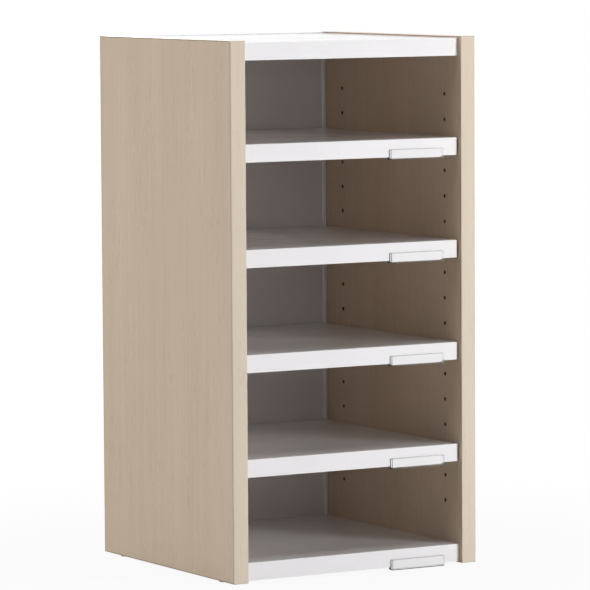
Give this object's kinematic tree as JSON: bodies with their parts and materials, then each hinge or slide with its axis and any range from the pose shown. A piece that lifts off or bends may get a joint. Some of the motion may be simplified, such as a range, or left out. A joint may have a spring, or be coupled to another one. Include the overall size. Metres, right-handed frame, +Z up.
{
  "type": "pigeonhole mail sorter",
  "caption": "Upright pigeonhole mail sorter with wood-decor sides, a fixed steel top and bottom, lift-off steel shelves on pins, a steel back and clear clip-on label holders.",
  "frame": {"origin": "middle of the covered rectangle, on the surface that the sorter stands on", "axes": "+Z up, -Y the open front, +X to the right of someone facing the front"},
  "size_m": [0.35, 0.334, 0.662],
  "materials": {
    "birch_decor": "satin melamine with a fine upright grain",
    "birch_band": "satin edge band",
    "white_steel": "semi-gloss white powder coat",
    "bright_steel": "zinc plated",
    "clear_plastic": "clear, polished",
    "blank_card": "matt white",
    "glide_plastic": "matt dark"
  },
  "bodies": {
    "carcass": {"left_side_panel": "birch_decor", "left_front_band": "birch_band", "left_rear_band": "birch_band", "left_top_band": "birch_band", "left_bottom_band": "birch_band", "right_side_panel": "birch_decor", "right_front_band": "birch_band", "right_rear_band": "birch_band", "right_top_band": "birch_band", "right_bottom_band": "birch_band", "top_panel": "white_steel", "bottom_panel": "white_steel", "back_panel": "white_steel", "top_panel_screws": "bright_steel", "bottom_panel_screws": "bright_steel", "back_panel_screws": "bright_steel", "glides": "glide_plastic", "shelf_1_pins": "bright_steel", "shelf_2_pins": "bright_steel", "shelf_3_pins": "bright_steel", "shelf_4_pins": "bright_steel"},
    "shelf_1": {"shelf_1": "white_steel"},
    "shelf_2": {"shelf_2": "white_steel"},
    "shelf_3": {"shelf_3": "white_steel"},
    "shelf_4": {"shelf_4": "white_steel"},
    "bottom_label_holder": {"bottom_label_holder": "clear_plastic"},
    "bottom_label_card": {"bottom_label_card": "blank_card"},
    "shelf_1_label_holder": {"shelf_1_label_holder": "clear_plastic"},
    "shelf_1_label_card": {"shelf_1_label_card": "blank_card"},
    "shelf_2_label_holder": {"shelf_2_label_holder": "clear_plastic"},
    "shelf_2_label_card": {"shelf_2_label_card": "blank_card"},
    "shelf_3_label_holder": {"shelf_3_label_holder": "clear_plastic"},
    "shelf_3_label_card": {"shelf_3_label_card": "blank_card"},
    "shelf_4_label_holder": {"shelf_4_label_holder": "clear_plastic"},
    "shelf_4_label_card": {"shelf_4_label_card": "blank_card"}
  },
  "joints": [
    {"name": "shelf_1_lift", "type": "slide", "parent": "carcass", "child": "shelf_1", "axis": [0, 0, 1], "range_m": [0, 0.096]},
    {"name": "shelf_2_lift", "type": "slide", "parent": "carcass", "child": "shelf_2", "axis": [0, 0, 1], "range_m": [0, 0.096]},
    {"name": "shelf_3_lift", "type": "slide", "parent": "carcass", "child": "shelf_3", "axis": [0, 0, 1], "range_m": [0, 0.096]},
    {"name": "shelf_4_lift", "type": "slide", "parent": "carcass", "child": "shelf_4", "axis": [0, 0, 1], "range_m": [0, 0.096]},
    {"name": "bottom_holder_slide", "type": "slide", "parent": "carcass", "child": "bottom_label_holder", "axis": [1, 0, 0], "range_m": [-0.2, 0.019]},
    {"name": "bottom_card_lift", "type": "slide", "parent": "bottom_label_holder", "child": "bottom_label_card", "axis": [0, 0, 1], "range_m": [0, 0.0115]},
    {"name": "shelf_1_holder_slide", "type": "slide", "parent": "shelf_1", "child": "shelf_1_label_holder", "axis": [1, 0, 0], "range_m": [-0.2, 0.019]},
    {"name": "shelf_1_card_lift", "type": "slide", "parent": "shelf_1_label_holder", "child": "shelf_1_label_card", "axis": [0, 0, 1], "range_m": [0, 0.0115]},
    {"name": "shelf_2_holder_slide", "type": "slide", "parent": "shelf_2", "child": "shelf_2_label_holder", "axis": [1, 0, 0], "range_m": [-0.2, 0.019]},
    {"name": "shelf_2_card_lift", "type": "slide", "parent": "shelf_2_label_holder", "child": "shelf_2_label_card", "axis": [0, 0, 1], "range_m": [0, 0.0115]},
    {"name": "shelf_3_holder_slide", "type": "slide", "parent": "shelf_3", "child": "shelf_3_label_holder", "axis": [1, 0, 0], "range_m": [-0.2, 0.019]},
    {"name": "shelf_3_card_lift", "type": "slide", "parent": "shelf_3_label_holder", "child": "shelf_3_label_card", "axis": [0, 0, 1], "range_m": [0, 0.0115]},
    {"name": "shelf_4_holder_slide", "type": "slide", "parent": "shelf_4", "child": "shelf_4_label_holder", "axis": [1, 0, 0], "range_m": [-0.2, 0.019]},
    {"name": "shelf_4_card_lift", "type": "slide", "parent": "shelf_4_label_holder", "child": "shelf_4_label_card", "axis": [0, 0, 1], "range_m": [0, 0.0115]}
  ]
}
